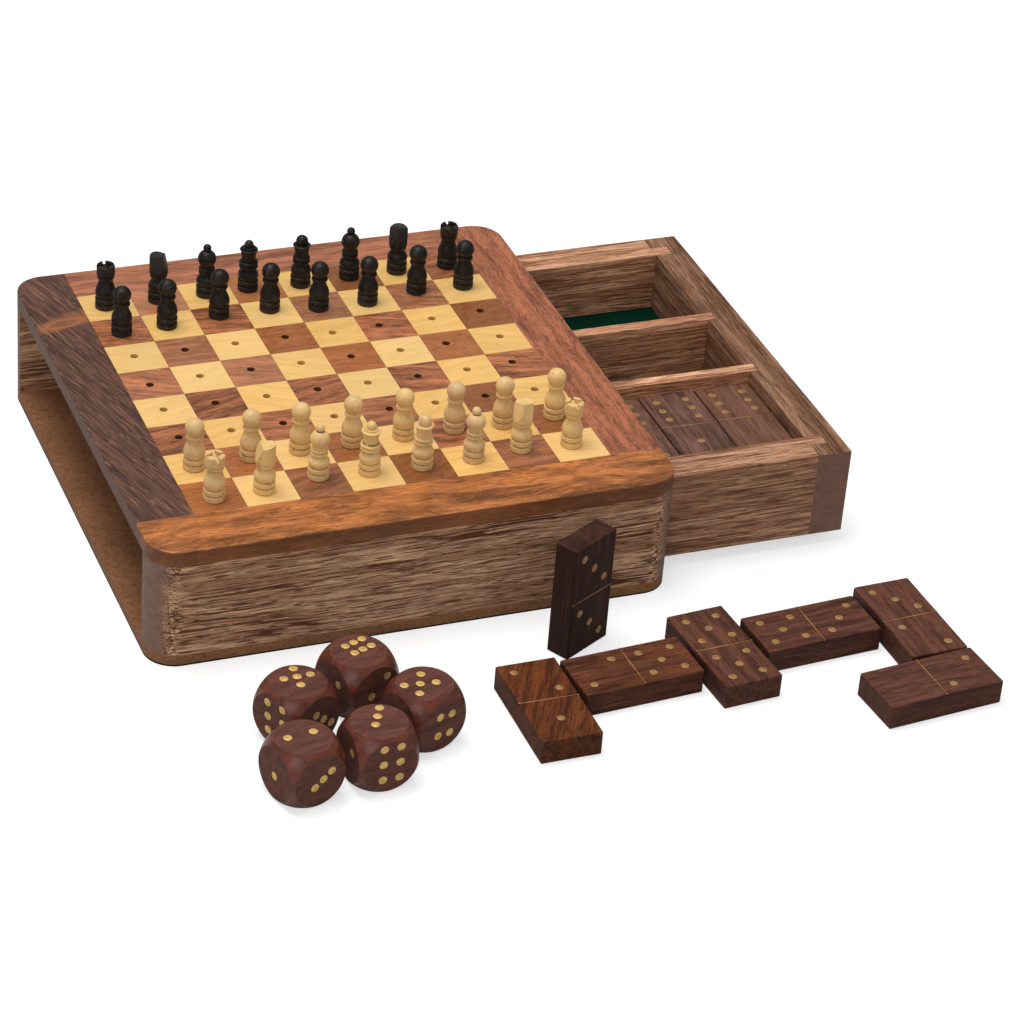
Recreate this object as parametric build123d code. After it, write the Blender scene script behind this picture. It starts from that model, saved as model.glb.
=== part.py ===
"""Games compendium box: a peg chess board on an open-ended sleeve, with a sliding drawer,
thirty-two pegged chessmen, twenty-eight dominoes and five dice. Millimetres.

The origin is the centre of the sleeve's underside. +X runs along the front edge to the right,
the way the drawer comes out, +Y runs to the back, and +Z is up. The drawer is modelled part
open, the chessmen stand at the start of a game, and seven dominoes and the dice lie in front.
"""
import os
from math import sqrt

from build123d import *

# ---- board -------------------------------------------------------------------------------
squares_per_side = 8
square = 17.5                   # one square of the board
border_left = 18.5              # border strips, from the field of squares to the board's edge
border_right = 17.5
border_front = 19.5
border_back = 17.0
board_thickness = 5.5
tile_thickness = 2.5            # the squares are tiles let in over a core panel
corner_radius = 10.0            # plan corners of the board, walls, bottom and felt
edge_round = 0.6                # eased upper edge of the board

# ---- peg holes ---------------------------------------------------------------------------
peg_diameter = 2.5
peg_clearance = 0.1             # radial
peg_length = 4.2
peg_hole_depth = 4.5
hole_drift = (-0.5, 1.0)        # drilled by eye: how far right and back of a square's middle
stray_holes = {                 # and the holes that went elsewhere
    "a1": (0.0, -1.5), "b1": (-1.0, -1.0), "c1": (0.5, 2.5), "e1": (-0.5, 0.0), "f1": (-0.5, 0.0),
    "g1": (-1.0, 2.0), "h1": (-1.5, 0.5), "a2": (-1.0, 0.0), "b2": (0.5, 1.0), "g2": (-1.5, 0.0),
    "e3": (1.0, 1.0), "h4": (-1.5, 2.0), "a5": (-0.5, -0.5), "h5": (0.5, 1.5), "g5": (-1.5, 1.5),
    "e6": (-1.5, 0.0), "f6": (-2.0, 1.0), "h6": (0.0, 2.0),
    "a7": (-0.5, -1.0), "b7": (-2.0, 0.0), "c7": (-0.5, 2.5), "d7": (0.0, 2.5), "e7": (-1.0, -0.5),
    "f7": (-1.0, -1.0), "g7": (0.5, 2.5), "h7": (0.0, 2.0),
    "a8": (-1.0, 0.0), "b8": (0.0, 0.0), "c8": (-0.5, 0.0), "d8": (-3.0, 0.5), "e8": (-2.0, -1.0),
    "f8": (-1.5, 0.0), "g8": (-1.5, 0.0), "h8": (-0.5, -0.5),
}

# ---- sleeve under the board --------------------------------------------------------------
wall_thickness = 12.0
wall_height = 33.0
bottom_thickness = 3.5
base_felt_thickness = 0.6

# ---- drawer ------------------------------------------------------------------------------
drawer_side_clearance = 0.5     # each side, between drawer and sleeve walls
drawer_slide_clearance = 0.2    # under the drawer
drawer_top_clearance = 1.8      # between the drawer's rim and the board
drawer_open = 66.5              # how far out the drawer stands
drawer_wall = 12.0
corner_tongue_thickness = 5.0   # tongues on the sides, housed in the end boards
corner_tongue_length = 6.0
floor_thickness = 3.0
floor_height = 6.4              # from the drawer's underside to its floor panel
floor_groove_depth = 4.0
floor_float = 0.25              # slack round the floor panel in its grooves
drawer_felt_thickness = 0.6
divider_thickness = 4.5
divider_housing = 3.0           # depth of the dividers' housings in the end boards
divider_slack = 0.1             # at the ends of the dividers in their housings
front_compartment_play = 3.0    # the front compartment is this much wider than a domino is long
middle_compartment = 31.5
felt_slack = 0.3                # round each felt pad

# ---- dominoes ----------------------------------------------------------------------------
domino_length = 41.0
domino_width = 20.0
domino_thickness = 8.5
domino_edge_round = 0.6
domino_pip_diameter = 2.8
domino_pip_across = 5.4         # outer pips from the middle of a half, across the domino
domino_pip_along = 5.5          # and along it
domino_line_width = 0.5         # the line between the halves
inlay_depth = 1.0               # seats for the brass pips and lines
domino_gap = 0.6                # between neighbouring dominoes in the drawer
most_pips = 6

# the six dominoes laid in a chain in front of the box; the odd ones lie across it
chain_start = (21.9, -145.5)    # centre of the first
chain_turn = 4.2                # degrees
chain_gap = 2.0
tail_gap = 1.2                  # between the fifth domino and the sixth, in front of it
# pips on the far or left half and on the other half, how far back it lies, its own turn
chain = [
    ("2_1", 0.0, -4.0),
    ("2_5", 7.4, -0.4),
    ("5_5", 7.4, 0.5),
    ("5_3", 9.2, -0.4),
    ("3_2", 2.0, -2.1),
    ("0_2", 0.0, 1.2),
]
standing_domino = (46.4, -108.6)
standing_turn = 29.1
standing_pips = "3_3"

# ---- dice --------------------------------------------------------------------------------
die_edge = 19.5
die_sphere_diameter = 26.4
die_pip_diameter = 3.0
die_pip_spread = (4.0, 3.0)     # pips from the middle of a face, along the pattern and across it

# the dice are drilled by hand: a face is the turn of its pattern, the pips' spread along and
# across the pattern, and where the pattern's middle lies from the face's middle
dice = {
    # name: (centre x, centre y, turn, pips on top, front and left, top, front, left)
    "die_back_left": (
        -55.1, -131.4, 25.7, "5_3_6",
        (19, 3.1, 2.9, 2.0, 2.2), (-40, 4.2, 0.0, 2.3, 0.2), (94, 4.9, 3.2, 0.9, 0.7),
    ),
    "die_back": (
        -32.1, -120.9, 18.7, "6_2_3",
        (3, 3.3, 2.2, 1.8, 2.4), (46, 4.0, 0.0, 1.2, 1.8), (40, 4.0, 0.0, 0.0, 0.0),
    ),
    "die_right": (
        -18.1, -142.2, 19.7, "5_4_1",
        (12, 4.0, 3.0, -1.1, 0.8), (-4, 2.3, 3.4, 0.8, -0.3), (0, 0.0, 0.0, 0.4, 0.3),
    ),
    "die_front": (
        -37.8, -157.0, 4.1, "3_6_2",
        (59, 4.3, 0.0, 0.7, 2.8), (90, 5.6, 2.7, 0.6, 0.9), (40, 4.0, 0.0, 0.0, 0.0),
    ),
    "die_front_left": (
        -61.9, -158.5, 15.7, "2_3_1",
        (-8, 4.2, 0.0, 0.1, 1.7), (36, 3.6, 0.0, 1.1, 0.1), (0, 0.0, 0.0, -0.3, -1.0),
    ),
}

# ---- chessmen: every man has the same foot ---------------------------------------------------
foot_radius = 3.5
foot_ring_height = 2.05         # the lowest ring
step_ring_height = 1.75         # the ring above it
groove_width = 0.3
groove_depth = 0.4
edge_ease = 0.3                 # eased edges of the rings
bulb_radius = 3.5               # the swelling above the rings
bulb_height = 5.9               # where it is widest, from the board
collar_height = 1.3             # thickness of a collar

pawn_neck_radius, pawn_neck_height = 2.2, 10.9
pawn_collar_radius = 2.8
pawn_ball_radius, pawn_ball_height = 3.1, 14.8

rook_neck_radius, rook_neck_height = 2.4, 10.6
rook_collar_radius, rook_collar_height = 2.85, 0.9
rook_crown_radius, rook_crown_height = 3.1, 3.6
rook_cup_radius, rook_cup_depth = 1.7, 1.2
rook_slot_width, rook_slot_depth = 1.2, 1.4

knight_neck_radius, knight_neck_height = 2.5, 8.8
knight_collar_radius, knight_collar_height = 2.95, 0.9
knight_head_radius, knight_head_height = 3.2, 7.2
knight_cheek_offset = 1.4       # flat cheeks, from the head's axis at its top
knight_cheek_turn = 45.0        # half the angle between them, from the way the head looks
knight_cheek_lean = 15.0
knight_dip = 1.3                # how far the mane dips under the poll
knight_dip_place = 1.4          # where it dips, behind the head's axis
knight_ear = 0.6                # how far the mane rises again behind the dip

bishop_neck_radius, bishop_neck_height = 2.4, 8.3
bishop_collar_radius = 2.8
bishop_ball_radius, bishop_ball_height = 3.15, 14.1
bishop_knob_radius = 1.4

queen_neck_radius, queen_neck_height = 2.5, 8.5
queen_collar_radius = 3.3
queen_waist_radius, queen_waist_height = 2.45, 12.7
queen_rim_radius, queen_rim_height = 3.15, 15.5
queen_cap_radius, queen_cap_height = 2.3, 0.9
queen_knob_radius = 1.55

king_neck_radius, king_neck_height = 2.5, 8.8
king_collar_radius = 3.0
king_waist_radius, king_waist_height = 2.35, 13.2
king_rim_radius, king_rim_height = 3.1, 15.6
king_knob_radius = 2.1

# how far each knight is turned, in degrees, the head's front pointing left at 0
knight_turns = {"white_knight_b": -43, "white_knight_g": 67, "black_knight_b": 112, "black_knight_g": 67}

# ---- what follows from those sizes -------------------------------------------------------
field = squares_per_side * square
case_length = field + border_left + border_right
case_depth = field + border_front + border_back
field_left = -case_length / 2 + border_left
field_front = -case_depth / 2 + border_front

bottom_low = base_felt_thickness
bottom_top = bottom_low + bottom_thickness
board_low = bottom_top + wall_height
board_top = board_low + board_thickness
core_thickness = board_thickness - tile_thickness
peg_hole_radius = peg_diameter / 2 + peg_clearance

drawer_length = case_length
drawer_width = case_depth - 2 * (wall_thickness + drawer_side_clearance)
drawer_low = bottom_top + drawer_slide_clearance
drawer_top = board_low - drawer_top_clearance
drawer_height = drawer_top - drawer_low
inner_length = drawer_length - 2 * drawer_wall
inner_width = drawer_width - 2 * drawer_wall
floor_low = drawer_low + floor_height
floor_top = floor_low + floor_thickness
pad_top = floor_top + drawer_felt_thickness
front_compartment = domino_length + front_compartment_play
front_divider_y = -inner_width / 2 + front_compartment
back_divider_y = front_divider_y + divider_thickness + middle_compartment
back_compartment = inner_width / 2 - back_divider_y - divider_thickness


# ---- helpers -----------------------------------------------------------------------------
def block(low, high):
    """A box from its lowest corner to its highest."""
    size = [b - a for a, b in zip(low, high)]
    middle = [(a + b) / 2 for a, b in zip(low, high)]
    return Pos(*middle) * Box(*size)


def case_outline(low, thickness):
    """A slab of the whole plan of the case, with its rounded corners."""
    plan = RectangleRounded(case_length, case_depth, corner_radius)
    return Pos(0, 0, low) * extrude(plan, thickness)


def write(name, solids):
    """One STEP file for a sub-part, made of one solid or several."""
    if isinstance(solids, (list, tuple)):
        shape = solids[0] if len(solids) == 1 else Compound(children=list(solids))
    else:
        shape = solids
    shape.label = name
    export_step(shape, f"parts/{name}.step")
    print(name, len(shape.solids()))


def square_centre(column, row):
    """Middle of a square, counted from the field's front left corner."""
    return field_left + (column + 0.5) * square, field_front + (row + 0.5) * square


def hole_centre(column, row):
    """Middle of the peg hole in a square, and of the man that stands there."""
    x, y = square_centre(column, row)
    right, back = stray_holes.get(chr(ord("a") + column) + str(row + 1), hole_drift)
    return x + right, y + back


# ---- board -------------------------------------------------------------------------------
def board_core():
    """The panel under the squares, with the lower part of the peg holes."""
    low = (field_left, field_front, board_low)
    core = block(low, (field_left + field, field_front + field, board_low + core_thickness))
    bores = []
    for column in range(squares_per_side):
        for row in range(squares_per_side):
            bore = Cylinder(peg_hole_radius, 2 * peg_hole_depth)
            bores.append(Pos(*hole_centre(column, row), board_top) * bore)
    return core - bores


def tile(column, row):
    """One square of the board, with its peg hole."""
    x, y = square_centre(column, row)
    body = block(
        (x - square / 2, y - square / 2, board_top - tile_thickness),
        (x + square / 2, y + square / 2, board_top),
    )
    hole = Cylinder(peg_hole_radius, 3 * tile_thickness)
    return body - Pos(*hole_centre(column, row), board_top) * hole


def tiles(dark):
    """The dark or the light squares; the near left square is dark."""
    places = [(c, r) for c in range(squares_per_side) for r in range(squares_per_side)]
    return [tile(c, r) for c, r in places if ((c + r) % 2 == 0) == dark]


def border_strips():
    """Four strips round the field, cut from the board's rounded outline."""
    left, right = -case_length / 2, case_length / 2
    front, back = -case_depth / 2, case_depth / 2
    field_right, field_back = field_left + field, field_front + field
    board = case_outline(board_low, board_thickness)
    board = fillet(board.faces().sort_by(Axis.Z)[-1].outer_wire().edges(), edge_round)
    spans = [
        ((left, field_front), (field_left, back)),
        ((left, front), (field_right, field_front)),
        ((field_right, front), (right, back)),
        ((field_left, field_back), (field_right, back)),
    ]
    strips = []
    for (x0, y0), (x1, y1) in spans:
        strips.append(board & block((x0, y0, board_low), (x1, y1, board_top)))
    return strips


# ---- sleeve ------------------------------------------------------------------------------
def case_wall(side):
    """The front (-1) or back (1) wall, between the bottom panel and the board."""
    outer = side * case_depth / 2
    inner = outer - side * wall_thickness
    span = block(
        (-case_length / 2, min(outer, inner), bottom_top),
        (case_length / 2, max(outer, inner), board_low),
    )
    return case_outline(bottom_top, wall_height) & span


# ---- drawer, worked out closed and centred, then moved out ---------------------------------
def floor_panel(slack):
    """The drawer's floor, reaching into the grooves; slack is what its edges give up there."""
    reach = floor_groove_depth - slack
    x = inner_length / 2 + reach
    y = inner_width / 2 + reach
    return block((-x, -y, floor_low), (x, y, floor_top))


def divider(front_face, slack):
    """A divider whose front face is at that depth, let into both end boards."""
    x = inner_length / 2 + divider_housing - slack
    return block((-x, front_face, floor_top), (x, front_face + divider_thickness, drawer_top))


def drawer_side(side):
    """The front (-1) or back (1) side, with a tongue at each end and a groove for the floor."""
    outer = side * drawer_width / 2
    inner = side * inner_width / 2
    tongue = inner + side * corner_tongue_thickness
    half = inner_length / 2
    board = block((-half, min(outer, inner), drawer_low), (half, max(outer, inner), drawer_top))
    reach = half + corner_tongue_length
    board += block((-reach, min(inner, tongue), drawer_low), (reach, max(inner, tongue), drawer_top))
    return board - floor_panel(0)


def drawer_end(side):
    """The left (-1) or right (1) end board, housed for the sides, the floor and the dividers."""
    outer = side * drawer_length / 2
    inner = side * inner_length / 2
    board = block(
        (min(outer, inner), -drawer_width / 2, drawer_low),
        (max(outer, inner), drawer_width / 2, drawer_top),
    )
    board -= [drawer_side(-1), drawer_side(1), floor_panel(0)]
    return board - [divider(front_divider_y, 0), divider(back_divider_y, 0)]


def felt_pads():
    """A pad on the floor of each compartment."""
    x = inner_length / 2 - felt_slack
    spans = [
        (-inner_width / 2, front_divider_y),
        (front_divider_y + divider_thickness, back_divider_y),
        (back_divider_y + divider_thickness, inner_width / 2),
    ]
    pads = []
    for near, far in spans:
        pads.append(block((-x, near + felt_slack, floor_top), (x, far - felt_slack, pad_top)))
    return pads


def out(solids):
    """Moves solids of the closed drawer to where it stands, part open."""
    place = Pos(drawer_open, 0, 0)
    return [place * solid for solid in solids] if isinstance(solids, list) else place * solids


# ---- dominoes ----------------------------------------------------------------------------
def half_pips(count):
    """Pip places on half a domino, across and along it from the half's middle."""
    a, b = domino_pip_across, domino_pip_along
    corners = [(-a, b), (a, -b), (a, b), (-a, -b)]
    middle = [(0, 0)] if count % 2 else []
    sides = [(-a, 0), (a, 0)] if count == most_pips else []
    return middle + corners[: count - count % 2 - len(sides)] + sides


def domino(pips):
    """A domino lying on z = 0, its length along Y, drilled and grooved for its inlays."""
    far, near = [int(count) for count in pips.split("_")]
    body = Pos(0, 0, domino_thickness / 2) * Box(domino_width, domino_length, domino_thickness)
    body = fillet(body.edges(), domino_edge_round)
    seats = [Pos(0, 0, domino_thickness) * Box(domino_width, domino_line_width, 2 * inlay_depth)]
    for count, middle in ((far, domino_length / 4), (near, -domino_length / 4)):
        for x, y in half_pips(count):
            seat = Cylinder(domino_pip_diameter / 2, 2 * inlay_depth)
            seats.append(Pos(x, middle + y, domino_thickness) * seat)
    return body - seats


def chain_places():
    """Places of the dominoes in the chain, in the chain's own frame, as (x, y, turn)."""
    step = (domino_width + domino_length) / 2 + chain_gap
    places = [(i * step, back, own + 90 * (i % 2)) for i, (_, back, own) in enumerate(chain)]
    # the last one lies in front of the one before it, flush with its right side
    x, y, _ = places[-2]
    x -= (domino_length - domino_width) / 2
    y -= (domino_width + domino_length) / 2 + tail_gap
    places[-1] = (x, y, places[-1][2])
    return places


def loose_dominoes():
    """The seven dominoes in front of the box, by name."""
    frame = Pos(*chain_start, 0) * Rot(0, 0, chain_turn)
    made = {}
    for (pips, _, _), (x, y, turn) in zip(chain, chain_places()):
        made[f"domino_{pips}"] = frame * Pos(x, y, 0) * Rot(0, 0, turn) * domino(pips)
    upright = Pos(*standing_domino, domino_length / 2) * Rot(0, 0, standing_turn) * Rot(90, 0, 0)
    upright *= Pos(0, 0, -domino_thickness / 2)
    made[f"domino_{standing_pips}"] = upright * domino(standing_pips)
    return made


def stored_dominoes():
    """The rest of the set: two layers in the front compartment, the last on edge in the back one."""
    outside = [sorted(pips) for pips in [piece[0] for piece in chain] + [standing_pips]]
    pairs = [f"{high}_{low}" for high in range(most_pips, -1, -1) for low in range(high + 1)]
    rest = [pips for pips in pairs if sorted(pips) not in outside]
    pitch = domino_width + domino_gap
    columns = int((inner_length - domino_gap) / pitch)
    # the front compartment's dominoes stand against its right end and its divider
    first_x = inner_length / 2 - domino_gap - domino_width / 2
    front_y = front_divider_y - domino_gap - domino_length / 2
    made = []
    for index, pips in enumerate(rest[: 2 * columns]):
        layer, column = divmod(index, columns)
        height = pad_top + (1 - layer) * domino_thickness
        made.append(Pos(first_x - column * pitch, front_y, height) * domino(pips))
    # the back compartment's stand on their long edges at its left end, where the sleeve hides them
    edge_pitch = domino_thickness + domino_gap
    rows = int((back_compartment - domino_gap) / edge_pitch)
    first_x = -inner_length / 2 + domino_gap + domino_length / 2
    back_y = inner_width / 2 - domino_gap
    for index, pips in enumerate(rest[2 * columns :]):
        column, row = divmod(index, rows)
        place = Pos(first_x + column * (domino_length + domino_gap), back_y - row * edge_pitch, pad_top)
        on_edge = Pos(0, 0, domino_width / 2) * Rot(90, 0, 0) * Rot(0, 0, 90)
        made.append(place * on_edge * domino(pips))
    return made


# ---- dice --------------------------------------------------------------------------------
def face_pips(count, along, across):
    """Pip places on a die's face, from the pattern's middle."""
    pair = [(-along, 0), (along, 0)]
    corners = [(x, y) for x in (-along, along) for y in (-across, across)]
    rows = corners + [(0, -across), (0, across)]
    middle = [(0, 0)]
    return {1: middle, 2: pair, 3: middle + pair, 4: corners, 5: middle + corners, 6: rows}[count]


def die_face(body_face, count, turn, along, across, x, y):
    """The seats of one face's pips."""
    seat = Cylinder(die_pip_diameter / 2, 2 * inlay_depth)
    pattern = body_face.location * Pos(x, y, 0) * Rot(0, 0, turn)
    return [pattern * Pos(*place, 0) * seat for place in face_pips(count, along, across)]


def die(pips, top, front, left):
    """A die centred on the origin; opposite faces add up to seven."""
    counts = [int(count) for count in pips.split("_")]
    body = Box(die_edge, die_edge, die_edge) & Sphere(die_sphere_diameter / 2)
    # seen from outside, each face's pattern has x to the right and y upwards or to the back
    sides = [(top, (0, 0, 1), (1, 0, 0)), (front, (0, -1, 0), (1, 0, 0)), (left, (-1, 0, 0), (0, -1, 0))]
    seats = []
    for count, (drilling, normal, right) in zip(counts, sides):
        outward = Vector(*normal)
        near = Plane(outward * die_edge / 2, x_dir=right, z_dir=normal)
        far = Plane(outward * -die_edge / 2, x_dir=right, z_dir=-outward)
        seats += die_face(near, count, *drilling)
        seats += die_face(far, 7 - count, drilling[0], *die_pip_spread, 0, 0)
    return body - seats


# ---- chessmen ----------------------------------------------------------------------------
class Turning:
    """The outline of a turned piece, from its peg up, as radius and height."""

    def __init__(self):
        """Every man starts with its peg, two rings and the bulb's widest place."""
        self.edges = []
        self.at = (0, -peg_length)
        self.to(peg_diameter / 2, -peg_length)
        self.to(peg_diameter / 2, 0)
        self.to(foot_radius - edge_ease, 0)
        self.ring(foot_radius, foot_ring_height)
        self.groove()
        self.ring(foot_radius, step_ring_height)
        self.groove()
        halfway = (bulb_radius - groove_depth / 4, (self.at[1] + bulb_height) / 2)
        self.arc(halfway, (bulb_radius, bulb_height))

    def to(self, radius, height):
        """A straight cut."""
        self.edges.append(Line((self.at[0], 0, self.at[1]), (radius, 0, height)))
        self.at = (radius, height)

    def arc(self, through, end):
        """A curved cut through a point to an end."""
        points = [(r, 0, z) for r, z in (self.at, through, end)]
        self.edges.append(ThreePointArc(*points))
        self.at = end

    def ring(self, radius, height):
        """A ring with eased edges, upwards from here."""
        low = self.at[1]
        self.to(radius, low + edge_ease)
        self.to(radius, low + height - edge_ease)
        self.to(radius - groove_depth, low + height)

    def groove(self):
        """A narrow groove above a ring."""
        self.to(self.at[0], self.at[1] + groove_width)

    def neck(self, radius, height):
        """Draws in from the bulb to the neck, swelling first and then hollow."""
        r, z = self.at
        middle = ((r + radius) / 2, (z + height) / 2)
        belly = (r - (r - radius) * 0.14, z + (height - z) * 0.26)
        hollow = (radius + (r - radius) * 0.14, height - (height - z) * 0.26)
        self.arc(belly, middle)
        self.arc(hollow, (radius, height))

    def collar(self, radius, height, inner):
        """A collar with a round edge, then in to the radius of what stands on it."""
        r, z = self.at
        self.to(radius - height / 2, z)
        self.arc((radius, z + height / 2), (radius - height / 2, z + height))
        self.to(inner, z + height)

    def ball(self, radius, height):
        """A ball centred on that height, up to its top."""
        r, z = self.at
        start = height - sqrt(radius**2 - r**2)
        if abs(start - z) > 1e-6:
            self.to(r, start)
        self.arc((radius, height), (0, height + radius))

    def solid(self):
        """The piece, turned about Z."""
        if self.at[0] > 0:
            self.to(0, self.at[1])
        self.to(0, -peg_length)
        return revolve(make_face(self.edges), Axis.Z)


def pawn():
    man = Turning()
    man.neck(pawn_neck_radius, pawn_neck_height)
    man.collar(pawn_collar_radius, collar_height, pawn_neck_radius)
    man.ball(pawn_ball_radius, pawn_ball_height)
    return man.solid()


def rook():
    man = Turning()
    man.neck(rook_neck_radius, rook_neck_height)
    man.to(rook_collar_radius, rook_neck_height + rook_collar_height)
    man.to(rook_collar_radius, rook_neck_height + 2 * rook_collar_height)
    man.to(rook_collar_radius - groove_depth, man.at[1])
    man.groove()
    man.to(rook_crown_radius, man.at[1])
    top = man.at[1] + rook_crown_height
    man.to(rook_crown_radius, top - edge_ease)
    man.to(rook_crown_radius - edge_ease, top)
    body = man.solid()
    cup = Pos(0, 0, top) * Cylinder(rook_cup_radius, 2 * rook_cup_depth)
    slot = Box(3 * rook_crown_radius, rook_slot_width, 2 * rook_slot_depth)
    return body - [cup, Pos(0, 0, top) * slot, Pos(0, 0, top) * Rot(0, 0, 90) * slot]


def knight():
    """The head's front points to -X: two flat cheeks meet there, and the mane dips behind."""
    man = Turning()
    man.neck(knight_neck_radius, knight_neck_height)
    man.to(knight_collar_radius, knight_neck_height + knight_collar_height)
    man.to(knight_collar_radius, knight_neck_height + 2 * knight_collar_height)
    man.to(knight_collar_radius - groove_depth, man.at[1])
    man.groove()
    man.to(knight_head_radius, man.at[1])
    top = man.at[1] + knight_head_height
    man.to(knight_head_radius, top)
    body = man.solid()
    size = 6 * knight_head_radius
    for side in (-1, 1):
        cheek = Pos(0, side * (knight_cheek_offset + size / 2), 0) * Box(size, size, size)
        cheek = Rot(0, 0, side * knight_cheek_turn) * Rot(side * knight_cheek_lean, 0, 0) * cheek
        above_collar = block((-size, -size, top - knight_head_height), (size, size, top + size))
        body -= Pos(0, 0, top) * cheek & above_collar
    dip = (knight_dip_place, top - knight_dip)
    ear = (knight_head_radius, dip[1] + knight_ear)
    above = top + size
    mane = Polyline(
        (-knight_head_radius, top), dip, ear, (size, ear[1]), (size, above), (-knight_head_radius, above),
        close=True,
    )
    notch = extrude(Plane.XZ * make_face(mane), size, both=True)
    return body - notch


def bishop():
    man = Turning()
    man.neck(bishop_neck_radius, bishop_neck_height)
    man.collar(bishop_collar_radius, collar_height, bishop_neck_radius)
    man.collar(bishop_collar_radius, collar_height, bishop_neck_radius)
    shoulder = bishop_knob_radius * 0.7
    ball_end = bishop_ball_height + sqrt(bishop_ball_radius**2 - shoulder**2)
    start = bishop_ball_height - sqrt(bishop_ball_radius**2 - bishop_neck_radius**2)
    man.to(bishop_neck_radius, start)
    man.arc((bishop_ball_radius, bishop_ball_height), (shoulder, ball_end))
    knob = ball_end + sqrt(bishop_knob_radius**2 - shoulder**2)
    man.ball(bishop_knob_radius, knob)
    return man.solid()


def queen():
    man = Turning()
    man.neck(queen_neck_radius, queen_neck_height)
    man.collar(queen_collar_radius, collar_height, queen_neck_radius)
    man.collar(queen_collar_radius, collar_height, queen_neck_radius)
    man.to(queen_waist_radius, queen_waist_height)
    man.to(queen_rim_radius - edge_ease, queen_rim_height - edge_ease)
    man.to(queen_rim_radius, queen_rim_height)
    man.to(queen_rim_radius - edge_ease, queen_rim_height + edge_ease)
    man.to(queen_cap_radius, queen_rim_height + edge_ease)
    man.to(queen_cap_radius, queen_rim_height + queen_cap_height)
    man.to(queen_knob_radius * 0.8, queen_rim_height + queen_cap_height)
    knob = man.at[1] + queen_knob_radius * 0.6
    man.ball(queen_knob_radius, knob)
    return man.solid()


def king():
    man = Turning()
    man.neck(king_neck_radius, king_neck_height)
    man.collar(king_collar_radius, collar_height, king_neck_radius)
    man.collar(king_collar_radius, collar_height, king_neck_radius)
    man.to(king_waist_radius, king_waist_height)
    man.to(king_rim_radius - edge_ease, king_rim_height - edge_ease)
    man.to(king_rim_radius, king_rim_height)
    man.to(king_rim_radius - edge_ease, king_rim_height + edge_ease)
    man.to(king_knob_radius * 0.8, king_rim_height + edge_ease)
    knob = man.at[1] + king_knob_radius * 0.6
    man.ball(king_knob_radius, knob)
    return man.solid()


def chessmen():
    """All thirty-two men on their squares, by name."""
    files = "abcdefgh"
    makers = {"rook": rook, "knight": knight, "bishop": bishop, "queen": queen, "king": king}
    back_rank = ["rook", "knight", "bishop", "queen", "king", "bishop", "knight", "rook"]
    shapes = {kind: make() for kind, make in makers.items()}
    shapes["pawn"] = pawn()
    last_row = squares_per_side - 1
    men = {}
    for side, home, pawns in (("white", 0, 1), ("black", last_row, last_row - 1)):
        for column, kind in enumerate(back_rank):
            single = kind in ("queen", "king")
            name = f"{side}_{kind}" if single else f"{side}_{kind}_{files[column]}"
            place = Pos(*hole_centre(column, home), board_top) * Rot(0, 0, knight_turns.get(name, 0))
            men[name] = place * shapes[kind]
            place = Pos(*hole_centre(column, pawns), board_top)
            men[f"{side}_pawn_{files[column]}"] = place * shapes["pawn"]
    return men


# ---- everything --------------------------------------------------------------------------
def main():
    os.makedirs("parts", exist_ok=True)
    write("board_core", board_core())
    write("board_dark_squares", tiles(dark=True))
    write("board_light_squares", tiles(dark=False))
    write("board_border_strips", border_strips())
    write("case_front_wall", case_wall(-1))
    write("case_back_wall", case_wall(1))
    write("case_bottom_panel", case_outline(bottom_low, bottom_thickness))
    write("case_base_felt", case_outline(0, base_felt_thickness))

    write("drawer_left_end", out(drawer_end(-1)))
    write("drawer_right_end", out(drawer_end(1)))
    write("drawer_front_side", out(drawer_side(-1)))
    write("drawer_back_side", out(drawer_side(1)))
    write("drawer_floor", out(floor_panel(floor_float)))
    dividers = [divider(front_divider_y, divider_slack), divider(back_divider_y, divider_slack)]
    write("drawer_dividers", out(dividers))
    write("drawer_felt_pads", out(felt_pads()))
    write("stored_dominoes", out(stored_dominoes()))

    for name, man in chessmen().items():
        write(name, man)
    for name, piece in loose_dominoes().items():
        write(name, piece)
    for name, (x, y, turn, *faces) in dice.items():
        write(name, Pos(x, y, die_edge / 2) * Rot(0, 0, turn) * die(*faces))


if __name__ == "__main__":
    main()
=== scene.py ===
"""Dresses the games box: woods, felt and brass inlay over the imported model, and its studio.

Lengths in materials are millimetres, worked out from Object coordinates; everything else is
in metres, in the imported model's own frame.
"""
from math import cos, radians, sin

import bmesh
import bpy
from bpy.props import FloatProperty, FloatVectorProperty, PointerProperty
from mathutils import Matrix, Vector


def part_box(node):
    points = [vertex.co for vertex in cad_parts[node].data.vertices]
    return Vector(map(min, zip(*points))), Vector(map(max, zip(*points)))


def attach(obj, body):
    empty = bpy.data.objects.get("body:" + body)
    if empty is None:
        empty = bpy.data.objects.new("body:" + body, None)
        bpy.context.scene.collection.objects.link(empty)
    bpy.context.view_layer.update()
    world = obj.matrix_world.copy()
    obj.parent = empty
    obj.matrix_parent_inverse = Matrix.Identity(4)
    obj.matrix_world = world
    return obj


bl_info = {
    "name": "Games box dressing",
    "version": (1, 0, 0),
    "blender": (4, 5, 0),
    "location": "View3D > Sidebar > Games box",
    "description": "Woods, felt and brass inlay for a box of chess, dominoes and dice",
    "category": "Object",
}

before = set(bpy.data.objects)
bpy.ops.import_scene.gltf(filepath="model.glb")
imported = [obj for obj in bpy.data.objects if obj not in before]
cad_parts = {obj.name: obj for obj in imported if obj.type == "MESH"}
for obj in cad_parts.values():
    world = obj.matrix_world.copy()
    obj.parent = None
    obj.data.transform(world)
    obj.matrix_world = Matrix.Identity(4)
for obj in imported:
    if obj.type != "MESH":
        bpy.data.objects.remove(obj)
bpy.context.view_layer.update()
MM = 0.001

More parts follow.
